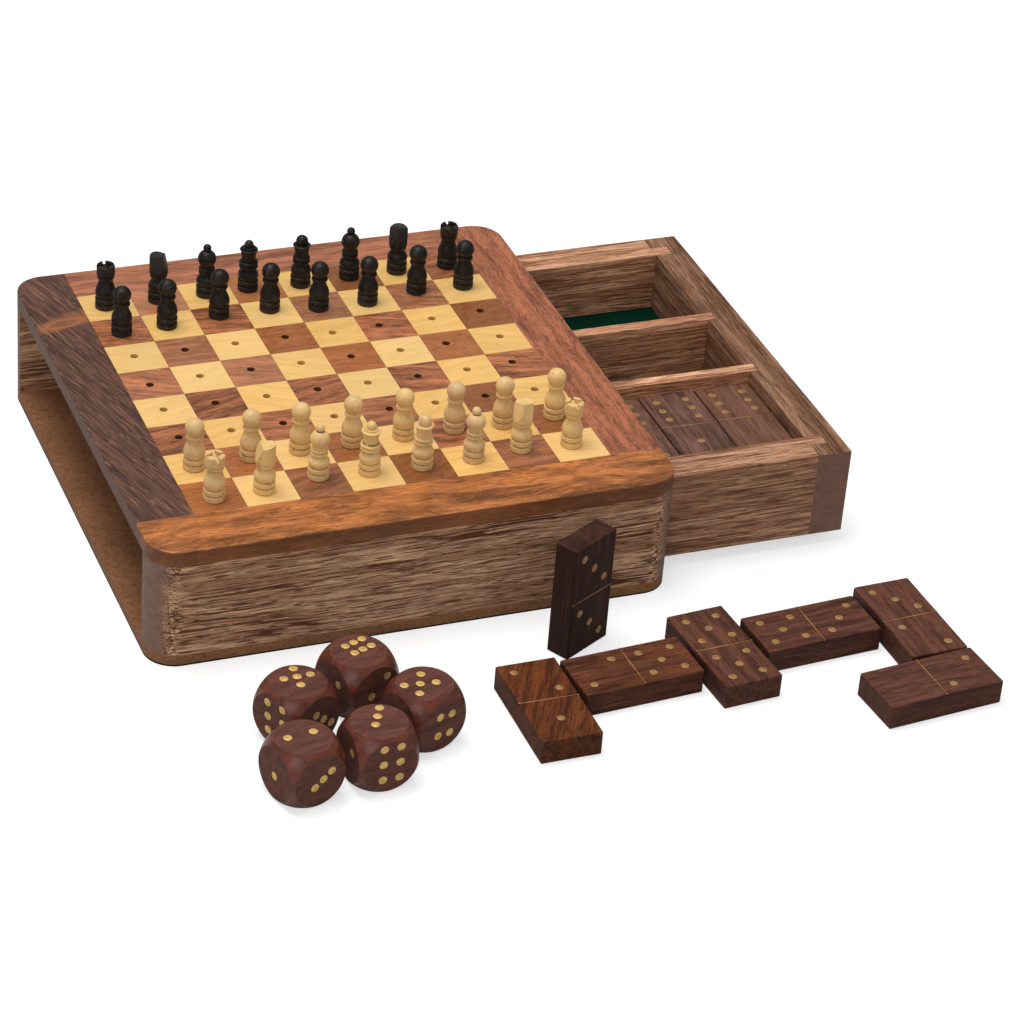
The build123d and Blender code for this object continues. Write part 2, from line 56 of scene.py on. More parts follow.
# ---- places, from the frame --------------------------------------------------------------------
field_low, field_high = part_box("board_core")
square = (field_high.x - field_low.x) / 8


# ---- what a user would change ------------------------------------------------------------------
def colour(name, description, value):
    return FloatVectorProperty(
        name=name, description=description, default=value, subtype="COLOR", min=0.0, max=1.0
    )


def length(name, description, value):
    return FloatProperty(
        name=name, description=description, default=value, unit="LENGTH", precision=5
    )


class WoodColours(bpy.types.PropertyGroup):
    """The middle tone of each wood, before its grain."""

    left_strip: colour("Left strip", "Dark border strip on the left", (0.102, 0.046, 0.031))
    front_strip: colour("Front strip", "Orange-brown border strip in front", (0.40, 0.134, 0.036))
    right_strip: colour("Right strip", "Flecked red border strip at right", (0.34, 0.112, 0.052))
    back_strip: colour("Back strip", "Red-brown border strip at the back", (0.36, 0.132, 0.068))
    dark_square: colour("Dark squares", "Rosewood squares", (0.33, 0.115, 0.048))
    light_square: colour("Light squares", "Pale squares", (0.83, 0.495, 0.155))
    panel: colour("Panels", "Board core and bottom panel", (0.30, 0.130, 0.058))
    wall: colour("Walls", "Ground of the striped sleeve walls", (0.61, 0.355, 0.210))
    drawer: colour("Drawer", "Ground of the striped drawer wood", (0.45, 0.240, 0.140))
    domino: colour("Dominoes", "Dark rosewood", (0.104, 0.038, 0.024))
    die: colour("Dice", "Polished red rosewood", (0.120, 0.027, 0.014))
    boxwood: colour("White men", "Boxwood", (0.72, 0.47, 0.205))
    ebony: colour("Black men", "Ebonised wood", (0.012, 0.009, 0.008))


class OtherColours(bpy.types.PropertyGroup):
    """Felt and brass."""

    felt: colour("Felt", "Green felt", (0.001, 0.022, 0.011))
    brass: colour("Bright brass", "The dice's pips", (0.80, 0.50, 0.16))
    dull_brass: colour("Dull brass", "The dominoes' pips and lines", (0.44, 0.235, 0.085))


class InlaySizes(bpy.types.PropertyGroup):
    """How the brass sits in the seats that the model has."""

    gap: length("Gap", "Between the brass and its seat", 0.00002)
    ring: length("Ring", "Dark glue round a die's pips", 0.00009)
    thin_ring: length("Thin ring", "Dark glue round a domino's pips", 0.00003)
    sunk: length("Sunk", "How far the brass lies below the wood", 0.00003)
    ease: length("Ease", "Rounding of the brass edges", 0.00006)


class StageSizes(bpy.types.PropertyGroup):
    """Camera and studio."""

    camera_place: FloatVectorProperty(
        name="Camera", description="Where the camera stands", default=(-0.350, -0.9677, 0.6559),
        subtype="XYZ", unit="LENGTH",
    )
    focal_length: FloatProperty(name="Lens", description="Focal length in mm", default=126.9)
    floor_size: length("Floor", "Side of the floor", 6.0)
    lamp_power: FloatProperty(name="Lamp", description="Large lamp's power in watts", default=14.0)
    sky_strength: FloatProperty(name="Sky", description="Strength of the even light", default=0.56)


# ---- materials ---------------------------------------------------------------------------------
class Value:
    """A socket of a material's nodes; sums written with it become Math nodes."""

    def __init__(self, finish, socket):
        self.finish, self.socket = finish, socket

    def maths(self, operation, *values):
        return self.finish.node("Math", {"operation": operation}, dict(enumerate(values)))

    def __add__(self, other):
        return self.maths("ADD", self, other)

    def __radd__(self, other):
        return self.maths("ADD", other, self)

    def __sub__(self, other):
        return self.maths("SUBTRACT", self, other)

    def __rsub__(self, other):
        return self.maths("SUBTRACT", other, self)

    def __mul__(self, other):
        return self.maths("MULTIPLY", self, other)

    def __rmul__(self, other):
        return self.maths("MULTIPLY", other, self)

    def __abs__(self):
        return self.maths("ABSOLUTE", self)

    def larger(self, other):
        return self.maths("MAXIMUM", self, other)

    def rise(self, low, high):
        """0 below low and 1 above high, with a smooth rise between; high may be the smaller."""
        sockets = {"Value": self, "From Min": low, "From Max": high}
        return self.finish.node("MapRange", {"interpolation_type": "SMOOTHSTEP"}, sockets)


class Finish:
    """A material under construction, round its Principled shader."""

    def __init__(self, name):
        self.material = bpy.data.materials.new(name)
        self.material.use_nodes = True
        self.nodes = self.material.node_tree.nodes
        self.links = self.material.node_tree.links
        self.shader = self.nodes["Principled BSDF"]
        self.output = self.nodes["Material Output"]

    def node(self, kind, settings=None, sockets=None, output=0):
        """Adds a node: its settings first, then its sockets' values or links."""
        made = self.nodes.new("ShaderNode" + kind)
        for key, value in (settings or {}).items():
            if key == "stops":
                self.set_stops(made.color_ramp, value)
            else:
                setattr(made, key, value)
        for key, value in (sockets or {}).items():
            self.feed(made.inputs[key], value)
        return Value(self, made.outputs[output])

    def feed(self, socket, value):
        """Sets a socket, or links it."""
        if isinstance(value, Value):
            self.links.new(value.socket, socket)
        elif hasattr(value, "__len__") and socket.type == "RGBA" and len(value) == 3:
            socket.default_value = (*value, 1.0)
        else:
            socket.default_value = value

    @staticmethod
    def set_stops(ramp, stops):
        while len(ramp.elements) < len(stops):
            ramp.elements.new(1.0)
        for element, (position, tone) in zip(ramp.elements, stops):
            element.position = position
            element.color = (*tone, 1.0)

    def place(self, turn=0.0, tip=0.0, tilt=0.0):
        """Object coordinates in millimetres; the grain's own x is the row's x turned by turn."""
        here = self.node("TexCoord", output="Object")
        scaled = self.node("VectorMath", {"operation": "SCALE"}, {0: here, "Scale": 1 / MM})
        sockets = {"Vector": scaled, "Rotation": (radians(tip), radians(tilt), radians(turn))}
        return self.node("Mapping", {"vector_type": "TEXTURE"}, sockets)

    def stretched(self, place, sizes, shift=0.0):
        """The place measured in blotches of these sizes, in mm, along its three axes."""
        scale = tuple(1 / size for size in sizes)
        sockets = {"Vector": place, "Scale": scale, "Location": (shift, 1.7 * shift, 2.3 * shift)}
        return self.node("Mapping", {"vector_type": "POINT"}, sockets)

    def noise(self, place, sizes, shift=0.0, detail=2.0, rough=0.55, output=0):
        """Noise in blotches of these sizes in mm; it spreads about 0.5, from 0.25 to 0.75."""
        sockets = {
            "Vector": self.stretched(place, sizes, shift), "Scale": 1.0, "Detail": detail,
            "Roughness": rough,
        }
        return self.node("TexNoise", {"noise_dimensions": "3D"}, sockets, output)

    def moved(self, place, vector):
        return self.node("VectorMath", {"operation": "ADD"}, {0: place, 1: vector})

    def waved(self, place, amount, sizes, shift=0.0):
        """The place, pushed about by up to half of amount mm, so that straight grain wanders."""
        push = self.noise(place, sizes, shift, 1.0, 0.5, "Color")
        half = self.node("VectorMath", {"operation": "SUBTRACT"}, {0: push, 1: (0.5, 0.5, 0.5)})
        scaled = self.node("VectorMath", {"operation": "SCALE"}, {0: half, "Scale": amount})
        return self.moved(place, scaled)

    def ramp(self, value, *stops):
        return self.node("ValToRGB", {"stops": stops}, {"Fac": value})

    def mix(self, base, over, amount, blend="MIX"):
        """One colour over another by amount."""
        settings = {"data_type": "RGBA", "blend_type": blend}
        return self.node("Mix", settings, {0: amount, 6: base, 7: over}, 2)

    def dimmed(self, base, amount):
        """A colour times a value that may pass 1."""
        return self.node("VectorMath", {"operation": "SCALE"}, {0: base, "Scale": amount})

    def parts(self, vector):
        """A vector's three numbers."""
        split = self.node("SeparateXYZ", None, {0: vector})
        outputs = split.socket.node.outputs
        return [Value(self, outputs[i]) for i in range(3)]

    def cell(self, place, size, corner):
        """A chance colour for each square of a grid, the same at every height."""
        moved = self.node("VectorMath", {"operation": "SUBTRACT"}, {0: place, 1: corner})
        sockets = {0: moved, 1: (1 / size, 1 / size, 0.0)}
        flat = self.node("VectorMath", {"operation": "MULTIPLY"}, sockets)
        whole = self.node("VectorMath", {"operation": "FLOOR"}, {0: flat})
        return self.node("TexWhiteNoise", {"noise_dimensions": "3D"}, {"Vector": whole}, "Color")

    def finish(self, tone, rough, height=None, bump=0.3, depth=0.05, **constants):
        """Feeds the shader. height is in units of depth mm."""
        self.feed(self.shader.inputs["Base Color"], tone)
        self.feed(self.shader.inputs["Roughness"], rough)
        if height is not None:
            sockets = {"Height": height, "Strength": bump, "Distance": depth * MM}
            self.feed(self.shader.inputs["Normal"], self.node("Bump", None, sockets))
        for name, value in constants.items():
            self.feed(self.shader.inputs[name.replace("_", " ")], value)
        return self.material


def shade(tone, amount):
    """A plain colour, lighter or darker."""
    return tuple(min(1.0, channel * amount) for channel in tone)


def blend(tone, other, amount):
    """A plain colour part of the way to another."""
    return tuple(a + (b - a) * amount for a, b in zip(tone, other))


def grained(finish, place, tone, band=(60, 3, 3), fibre=(14, 0.5, 0.5), contrast=1.0, shift=0.0):
    """Wood colour from broad bands and fine fibres; returns the colour and the fibres."""
    bands = finish.noise(place, band, shift, 3.0, 0.6)
    fibres = finish.noise(place, fibre, shift + 5.0, 3.0, 0.65)
    both = bands * 0.55 + fibres * 0.45
    dark, light = shade(tone, 1 - 0.62 * contrast), shade(tone, 1 + 0.62 * contrast)
    colours = finish.ramp(both, (0.40, dark), (0.5, tone), (0.60, light))
    return colours, fibres


def pores(finish, place, sizes=(3.0, 0.22, 0.22), least=0.60, shift=0.0):
    """Short dark lines along the grain, as a mask."""
    return finish.noise(place, sizes, 11.0 + shift, 1.0, 0.5).rise(least, least + 0.07)


def bevel_wear(finish, amount=1.0):
    """Pale on sharp edges, as a mask from the shape's curvature."""
    point = finish.node("NewGeometry", output="Pointiness")
    return point.rise(0.53, 0.60) * amount


def painted_groove_shade(finish, amount=1.0):
    """Painted shade in grooves and corners, as a mask from the shape's curvature."""
    point = finish.node("NewGeometry", output="Pointiness")
    return point.rise(0.495, 0.465) * amount


# ---- the woods ---------------------------------------------------------------------------------
def strip_wood(left_tone, front_tone, right_tone, back_tone):
    """The four border strips: each its own wood, its grain along its length."""
    wood = Finish("border_strips")
    low, high = field_low / MM, field_high / MM
    here = wood.place()
    x, y, _ = wood.parts(here)

    slant = wood.waved(wood.place(107.0), 3.0, (30, 12, 12))
    left, left_fibre = grained(wood, slant, left_tone, (40, 1.5, 1.5), (10, 0.4, 0.4), 0.8)
    hairs = wood.noise(slant, (16, 0.34, 0.34), 3.0, 1.0).rise(0.59, 0.65)
    left = wood.mix(left, (0.34, 0.155, 0.085), hairs * 0.8)
    seams = wood.noise(slant, (16, 0.5, 0.5), 27.0, 1.0).rise(0.52, 0.64)
    left = wood.mix(left, shade(left_tone, 0.35), seams * 0.55)
    swirl = wood.waved(here, 9.0, (14, 6, 6), 4.0)
    sx, sy, _ = wood.parts(swirl)
    across, along = sx + 77.0, (sy - 56.0 - (sx + 77.0) * 0.25) * 2.6
    ring = wood.node("Math", {"operation": "SQRT"}, {0: across * across + along * along})
    sap = ring.rise(13.0, 9.0) * (1 - abs(ring - 6.0).rise(0.0, 3.0) * 0.55)
    left = wood.mix(left, (0.40, 0.135, 0.048), sap * 0.85)

    flow = wood.waved(here, 7.0, (22, 9, 9), 8.0)
    front, front_fibre = grained(wood, flow, front_tone, (34, 5, 5), (7, 0.5, 0.5), 1.0)
    burl = wood.noise(here, (16, 9, 9), 21.0, 2.0).rise(0.52, 0.68)
    front = wood.mix(front, shade(front_tone, 0.5), burl * 0.6)
    nicks = pores(wood, flow, (3.0, 0.3, 0.3), 0.60)
    front = wood.mix(front, shade(front_tone, 0.3), nicks * 0.6)

    lengthwise = wood.waved(wood.place(90.0), 2.5, (18, 8, 8), 2.0)
    right, right_fibre = grained(wood, lengthwise, right_tone, (24, 2.6, 2.6), (4.0, 0.5, 0.5), 0.8)
    flecks = wood.noise(lengthwise, (2.4, 0.45, 0.45), 14.0, 1.0).rise(0.58, 0.68)
    right = wood.mix(right, shade(right_tone, 1.6), flecks * 0.5)
    nicks = pores(wood, lengthwise, (2.6, 0.3, 0.3), 0.58)
    right = wood.mix(right, shade(right_tone, 0.35), nicks * 0.55)

    rear = wood.waved(here, 4.0, (24, 8, 8), 6.0)
    back, back_fibre = grained(wood, rear, back_tone, (36, 4, 4), (8, 0.5, 0.5), 0.8, 7.0)

    is_front = y.rise(low.y + 0.05, low.y - 0.05)
    is_right = x.rise(high.x - 0.05, high.x + 0.05) * (1 - is_front)
    is_left = x.rise(low.x + 0.05, low.x - 0.05) * (1 - is_front)
    tone = wood.mix(back, left, is_left)
    tone = wood.mix(tone, right, is_right)
    tone = wood.mix(tone, front, is_front)
    fibre = left_fibre * is_left + right_fibre * is_right + front_fibre * is_front
    fibre = fibre + back_fibre * (1 - is_left - is_right - is_front)
    # the upright edges are duller, without the lacquer coat, and painted darker by their facing:
    # painted shade for the light that falls from above
    up = wood.parts(wood.node("NewGeometry", output="Normal"))[2]
    top = up.rise(0.3, 0.8)
    edge = wood.mix(wood.dimmed(tone, 0.55), (0.20, 0.075, 0.034), 0.45)
    tone = wood.mix(edge, tone, top)
    rough = 0.42 - top * 0.10 + fibre * 0.08
    return wood.finish(
        tone, rough, fibre, 0.25, 0.04, Coat_Weight=top * 0.4, Coat_Roughness=0.16,
        Specular_IOR_Level=0.3,
    )


def square_wood(name, tone, light, depth):
    """Squares cut from different boards: a chance tone and a chance slant of grain for each."""
    wood = Finish(name)
    here = wood.place()
    chance = wood.cell(here, square / MM, tuple(field_low / MM))
    first, second, third = wood.parts(chance)
    far = wood.node("VectorMath", {"operation": "SCALE"}, {0: chance, "Scale": 300.0})
    slant = wood.node(
        "VectorRotate", {"rotation_type": "Z_AXIS"}, {"Vector": here, "Angle": (first - 0.5) * 0.9}
    )
    place = wood.waved(wood.moved(slant, far), 2.5, (9, 5, 5))
    base, fibre = grained(wood, place, tone, (26, 2.6, 2.6), (7, 0.42, 0.42), depth, 0.0)
    if light:
        base = wood.mix(base, (0.88, 0.63, 0.29), second.rise(0.35, 0.95) * 0.35)
        base = wood.dimmed(base, third * 0.10 + 0.95)
        streak = wood.noise(place, (20, 0.8, 0.8), 9.0, 1.0).rise(0.60, 0.74)
        base = wood.mix(base, shade(tone, 0.72), streak * 0.25)
        rough = fibre * 0.06 + 0.26
    else:
        base = wood.mix(base, (0.44, 0.20, 0.105), second.rise(0.3, 1.0) * 0.5)
        base = wood.mix(base, (0.40, 0.13, 0.03), third.rise(0.72, 0.8) * 0.6)
        base = wood.dimmed(base, first * 0.55 + 0.72)
        flecks = wood.noise(place, (2.6, 0.5, 0.5), 17.0, 1.0).rise(0.55, 0.70)
        base = wood.mix(base, shade(tone, 0.42), flecks * third.rise(0.3, 0.9) * 0.65)
        rough = fibre * 0.10 + 0.24
    # a dark glue line round each square, and painted shade on the drilled holes' sides
    grid = wood.node("VectorMath", {"operation": "SUBTRACT"}, {0: here, 1: tuple(field_low / MM)})
    cells = wood.node("VectorMath", {"operation": "SCALE"}, {0: grid, "Scale": MM / square})
    part = wood.node("VectorMath", {"operation": "FRACTION"}, {0: cells})
    px, py, _ = wood.parts(part)
    joint = abs(px - 0.5).larger(abs(py - 0.5)).rise(0.490, 0.499)
    base = wood.mix(base, (0.10, 0.04, 0.02), joint * 0.55)
    # painted shade: upright faces, the holes' walls, are darkened by their facing, to 0.95 of the
    # tone on light squares and 0.5 on dark ones
    side = wood.parts(wood.node("NewGeometry", output="Normal"))[2].rise(0.7, 0.2)
    base = wood.mix(base, shade(tone, 0.95 if light else 0.5), side)
    return wood.finish(
        base, rough, fibre, 0.2, 0.03, Coat_Weight=0.45, Coat_Roughness=0.09, Specular_IOR_Level=0.3
    )


def panel_board(name, tone, speck):
    """Pressed board: an even brown full of fine specks and short fibres."""
    wood = Finish(name)
    here = wood.place()
    fine = wood.noise(here, (0.55, 0.55, 0.55), 1.0, 3.0, 0.7)
    coarse = wood.noise(here, (1.6, 1.6, 0.9), 4.0, 2.0, 0.6)
    cloud = wood.noise(here, (24, 18, 6), 8.0, 1.0)
    specks = fine * 0.6 + coarse * 0.4
    base = wood.ramp(specks, (0.38, shade(tone, 0.58)), (0.52, tone), (0.66, speck))
    base = wood.dimmed(base, cloud * 0.5 + 0.75)
    return wood.finish(base, fine * 0.2 + 0.55, fine, 0.45, 0.08, Specular_IOR_Level=0.2)


def striped_wood(name, tone, turn, shift=0.0, wave=3.0, dark=1.0, end_tone=None):
    """Zebra-grained wood: pale ground, broad brown bands and fine dark streaks along the grain."""
    wood = Finish(name)
    straight = wood.place(turn)
    place = wood.waved(straight, wave, (60, 14, 14), shift)
    place = wood.waved(place, wave * 0.16, (12, 3, 3), shift + 2.0)
    brown = (tone[0] * 0.60, tone[1] * 0.50, tone[2] * 0.44)
    deep = (tone[0] * 0.15, tone[1] * 0.08, tone[2] * 0.05)
    fibre = wood.noise(place, (12, 0.40, 0.40), shift + 5.0, 3.0, 0.65)
    broad = wood.noise(place, (90, 3.6, 3.6), shift, 3.0, 0.6).rise(0.42, 0.56)
    base = wood.mix(shade(tone, 1.05), brown, broad * 0.8)
    base = wood.dimmed(base, fibre * 2.2 - 0.10)
    patch = wood.noise(place, (60, 7, 7), shift + 13.0, 1.0).rise(0.40, 0.58)
    streaks = wood.noise(place, (34, 0.75, 0.75), shift + 7.0, 2.0, 0.6).rise(0.51, 0.56)
    base = wood.mix(base, deep, streaks * (patch * 0.65 + 0.3) * dark)
    dashes = wood.noise(place, (9, 0.36, 0.36), shift + 17.0, 1.0).rise(0.55, 0.60)
    base = wood.mix(base, deep, dashes * 0.85 * dark)
    pore = pores(wood, place, (4.0, 0.24, 0.24), 0.60, shift)
    base = wood.mix(base, deep, pore * 0.45)
    facing = wood.node("NewGeometry", output="Normal")
    sockets = {"Vector": facing, "Rotation": (0.0, 0.0, radians(turn))}
    ahead = wood.parts(wood.node("Mapping", {"vector_type": "TEXTURE"}, sockets))[0]
    end = abs(ahead).rise(0.30, 0.80)
    dots = wood.noise(straight, (60, 0.45, 0.9), shift + 19.0, 2.0, 0.7)
    rings = wood.noise(straight, (90, 5.0, 2.4), shift + 23.0, 2.0)
    ends = end_tone or shade(tone, 0.5)
    both = dots * 0.6 + rings * 0.4
    grey = wood.ramp(both, (0.36, shade(ends, 0.78)), (0.5, ends), (0.64, shade(ends, 1.2)))
    base = wood.mix(base, grey, end)
    rough = 0.46 + fibre * 0.12 + pore * 0.1
    return wood.finish(
        base, rough, fibre * 0.6 - pore, 0.35, 0.06, Coat_Weight=0.05, Specular_IOR_Level=0.18
    )


def domino_wood(name, tone, turn, tip=0.0, tilt=0.0, shift=0.0, sun=0.0, contrast=1.0):
    """Dark rosewood, streaked along the domino; sun is how orange its lighter grain is."""
    wood = Finish(name)
    straight = wood.place(turn, tip, tilt)
    place = wood.waved(straight, 2.2, (16, 5, 5), shift)
    tone = blend(tone, (0.125, 0.034, 0.009), sun)
    base, fibre = grained(wood, place, tone, (30, 2.6, 2.6), (9, 0.4, 0.4), contrast, shift)
    light = wood.noise(place, (22, 3.2, 3.2), shift + 31.0, 2.0).rise(0.50, 0.66)
    warm = blend(shade(tone, 1.7), (0.20, 0.050, 0.013), 0.5 + 0.5 * sun)
    base = wood.mix(base, warm, light * (0.3 + 0.3 * sun))
    lines = wood.noise(place, (18, 0.5, 0.5), shift + 37.0, 1.0).rise(0.57, 0.66)
    base = wood.mix(base, shade(tone, 0.3), lines * 0.5)
    pore = pores(wood, place, (2.4, 0.24, 0.24), 0.60, shift)
    base = wood.mix(base, shade(tone, 0.2), pore * 0.6)
    # painted shade: the upright sides are dimmed to 0.7 of the top by their facing, for the light
    # that falls from above
    up = wood.parts(wood.node("NewGeometry", output="Normal"))[2]
    base = wood.dimmed(base, up.rise(0.3, 0.8) * 0.3 + 0.7)
    rough = 0.48 + fibre * 0.14
    return wood.finish(base, rough, fibre * 0.5 - pore, 0.3, 0.05, Specular_IOR_Level=0.16)


def die_wood(name, tone, turn, shift):
    """Polished rosewood ball with six dull sawn faces."""
    wood = Finish(name)
    straight = wood.place(turn)
    place = wood.waved(straight, 3.0, (9, 6, 6), shift)
    base, fibre = grained(wood, place, tone, (24, 2.6, 2.6), (7, 0.45, 0.45), 0.6, shift)
    glow = wood.noise(straight, (9, 7, 7), shift + 3.0, 1.0).rise(0.45, 0.68)
    base = wood.mix(base, (0.19, 0.042, 0.018), glow * 0.5)
    facing = wood.node("NewGeometry", output="Normal")
    sockets = {"Vector": facing, "Rotation": (0.0, 0.0, radians(turn))}
    nx, ny, nz = wood.parts(wood.node("Mapping", {"vector_type": "TEXTURE"}, sockets))
    flat = abs(nx).larger(abs(ny)).larger(abs(nz)).rise(0.985, 0.997)
    dull_tone = (0.125, 0.043, 0.030)
    sawn, _ = grained(wood, place, dull_tone, (20, 2.6, 2.6), (6, 0.4, 0.4), 0.5, shift + 9.0)
    base = wood.mix(base, sawn, flat)
    pore = pores(wood, place, (2.2, 0.24, 0.24), 0.62, shift)
    base = wood.mix(base, shade(tone, 0.35), pore * 0.45)
    rough = 0.30 + flat * 0.22 + fibre * 0.12
    return wood.finish(
        base, rough, fibre * 0.5 - pore, 0.45, 0.06, Coat_Weight=(1 - flat) * 0.8,
        Coat_Roughness=0.24, Specular_IOR_Level=0.2,
    )


def boxwood(tone):
    """Pale turned wood: each man has its own tint, with grain up its length."""
    wood = Finish("boxwood_men")
    here = wood.place()
    chance = wood.cell(here, square / MM, tuple(field_low / MM))
    first, second, third = wood.parts(chance)
    far = wood.node("VectorMath", {"operation": "SCALE"}, {0: chance, "Scale": 200.0})
    place = wood.waved(wood.moved(here, far), 1.2, (3, 3, 9))
    growth = wood.noise(place, (2.4, 2.4, 20), 2.0, 2.0, 0.5)
    fine = wood.noise(place, (0.3, 0.3, 5.0), 6.0, 2.0, 0.6)
    both = growth * 0.5 + fine * 0.5
    base = wood.ramp(both, (0.36, shade(tone, 0.84)), (0.5, tone), (0.63, shade(tone, 1.12)))
    base = wood.mix(base, (0.55, 0.38, 0.22), first.rise(0.55, 0.95) * 0.6)
    base = wood.mix(base, (0.84, 0.56, 0.20), second.rise(0.4, 0.9) * 0.6)
    stain = wood.noise(place, (2.4, 2.4, 3.2), 12.0, 1.0).rise(0.60, 0.74)
    base = wood.mix(base, (0.36, 0.22, 0.12), stain * third * 0.5)
    # painted shade: each man's grooves and corners are darkened
    base = wood.mix(base, shade(tone, 0.22), painted_groove_shade(wood, 0.8))
    return wood.finish(
        base, fine * 0.12 + 0.38, fine, 0.2, 0.03, Coat_Weight=0.12, Coat_Roughness=0.25,
        Specular_IOR_Level=0.35,
    )


def ebonised(tone):
    """Wood dyed black: a satin skin with the grain just showing."""
    wood = Finish("ebonised_men")
    here = wood.place()
    grain = wood.noise(here, (0.45, 0.45, 5.0), 3.0, 2.0, 0.6)
    worn = wood.noise(here, (2.2, 2.2, 2.8), 9.0, 1.0).rise(0.56, 0.74)
    base = wood.ramp(grain, (0.40, shade(tone, 0.55)), (0.52, tone), (0.66, shade(tone, 2.0)))
    base = wood.mix(base, (0.040, 0.032, 0.028), worn * 0.5)
    base = wood.mix(base, (0.05, 0.038, 0.032), bevel_wear(wood, 0.4))
    return wood.finish(base, grain * 0.2 + 0.40, grain, 0.35, 0.05, Specular_IOR_Level=0.35)


def felt_cloth(tone):
    """Pressed wool: a matt nap of tiny crossing hairs."""
    cloth = Finish("green_felt")
    here = cloth.place()
    nap = cloth.noise(here, (0.35, 0.35, 0.35), 1.0, 4.0, 0.75)
    hair = cloth.noise(cloth.waved(here, 1.5, (1.5, 1.5, 1.5)), (1.8, 0.22, 0.22), 5.0, 2.0)
    wool = nap * 0.55 + hair * 0.45
    base = cloth.ramp(wool, (0.38, shade(tone, 0.45)), (0.52, tone), (0.68, shade(tone, 2.4)))
    return cloth.finish(base, nap * 0.1 + 0.88, nap, 0.7, 0.15, Specular_IOR_Level=0.05)


def brass_metal(name, tone):
    """Sawn and sanded brass: dull in the scratches and brown where it tarnished."""
    metal = Finish(name)
    here = metal.place()
    sanded = metal.noise(metal.place(38.0), (3.0, 0.16, 0.16), 2.0, 2.0, 0.7)
    patch = metal.noise(here, (1.3, 1.3, 1.3), 7.0, 2.0)
    base = metal.ramp(patch, (0.36, shade(tone, 0.74)), (0.5, tone), (0.62, shade(tone, 1.1)))
    base = metal.mix(base, shade(tone, 0.5), sanded.rise(0.56, 0.72) * 0.5)
    rough = sanded * 0.25 + 0.38
    return metal.finish(base, rough, sanded, 0.4, 0.02, Metallic=0.35)


def glue_dark():
    """Dark glue and sanding dust in the joint round a pip."""
    joint = Finish("glue_dark")
    dust = joint.noise(joint.place(), (0.3, 0.3, 0.3), 3.0)
    base = joint.ramp(dust, (0.40, (0.006, 0.003, 0.002)), (0.60, (0.030, 0.014, 0.008)))
    return joint.finish(base, dust * 0.2 + 0.6, Specular_IOR_Level=0.1)


def floor_white():
    """White to the camera, with the object's shadow kept."""
    ground = Finish("studio_floor")
    path = ground.node("LightPath", output="Is Camera Ray")
    ground.feed(ground.shader.inputs["Base Color"], (0.50, 0.50, 0.50))
    ground.feed(ground.shader.inputs["Roughness"], 0.9)
    ground.feed(ground.shader.inputs["Specular IOR Level"], 0.0)
    glow = ground.node("Emission", None, {"Color": (1.0, 1.0, 1.0), "Strength": 0.60})
    both = ground.node("AddShader", None, {0: Value(ground, ground.shader.outputs[0]), 1: glow})
    sockets = {0: path, 1: Value(ground, ground.shader.outputs[0]), 2: both}
    seen = ground.node("MixShader", None, sockets)
    ground.feed(ground.output.inputs["Surface"], seen)
    return ground.material


def clothe(material, *names):
    """Gives CAD nodes a material through their object's own slots."""
    for name in names:
        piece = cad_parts[name]
        if not piece.material_slots:
            piece.data.materials.append(None)
        for slot in piece.material_slots:
            slot.link = "OBJECT"
            slot.material = material


def names_from(start):
    return [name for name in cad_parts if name.startswith(start)]


# ---- brass inlay -------------------------------------------------------------------------------
def flat_faces(name):
    """The flat faces of a CAD node's copy, each as its middle, its way out, its area and points."""
    mesh = bmesh.new()
    mesh.from_mesh(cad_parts[name].data)
    bmesh.ops.remove_doubles(mesh, verts=mesh.verts, dist=MM / 1000)
    found, done = [], set()
    for start in mesh.faces:
        if start.index in done:
            continue
        done.add(start.index)
        group, front = [start], [start]
        while front:
            face = front.pop()
            for edge in face.edges:
                for other in edge.link_faces:
                    if other.index not in done and other.normal.dot(start.normal) > 0.99999:
                        done.add(other.index)
                        group.append(other)
                        front.append(other)
        area = sum(face.calc_area() for face in group)
        weighed = (face.calc_center_median() * face.calc_area() for face in group)
        middle = sum(weighed, Vector()) / area
        points = [vert.co.copy() for face in group for vert in face.verts]
        found.append((middle, start.normal.copy(), area, points))
    mesh.free()
    return found


def seats(name):
    """Round seats as (middle, way out, radius) and line seats as (middle, way out, half run)."""
    rounds, lines = [], []
    for middle, normal, area, points in flat_faces(name):
        reach = [(point - middle).length for point in points]
        radius = max(reach)
        if 1.2 * MM < radius < 1.7 * MM and min(r for r in reach if r > 0.4 * MM) > 0.97 * radius:
            rounds.append((middle, normal, radius))
        if 9.0 * MM < radius < 11.5 * MM and 0.40 * MM < area / (2 * radius) < 0.60 * MM:
            run = max(points, key=lambda point: (point - middle).length) - middle
            lines.append((middle, normal, run))
    return rounds, lines


def deselect():
    if bpy.context.mode != "OBJECT":
        bpy.ops.object.mode_set(mode="OBJECT")
    bpy.ops.object.select_all(action="DESELECT")


def eased(piece, ring, ease):
    """Gives a piece that stands on z = 0 a dark rim of that width and a rounded top inside it."""
    bpy.ops.object.mode_set(mode="EDIT")
    mesh = bmesh.from_edit_mesh(piece.data)
    top = max(vert.co.z for vert in mesh.verts)
    for face in mesh.faces:
        face.select_set(face.calc_center_median().z > top - 1e-7)
        face.material_index = 1
    bmesh.update_edit_mesh(piece.data)
    if ring:
        bpy.ops.mesh.inset(thickness=ring, depth=0.0)
    piece.active_material_index = 0
    mesh = bmesh.from_edit_mesh(piece.data)
    for face in mesh.faces:
        if face.select:
            face.material_index = 0
    bmesh.update_edit_mesh(piece.data)
    bpy.ops.mesh.inset(thickness=ease, depth=0.0)
    bpy.ops.transform.translate(value=(0.0, 0.0, ease / 2))
    bpy.ops.object.mode_set(mode="OBJECT")


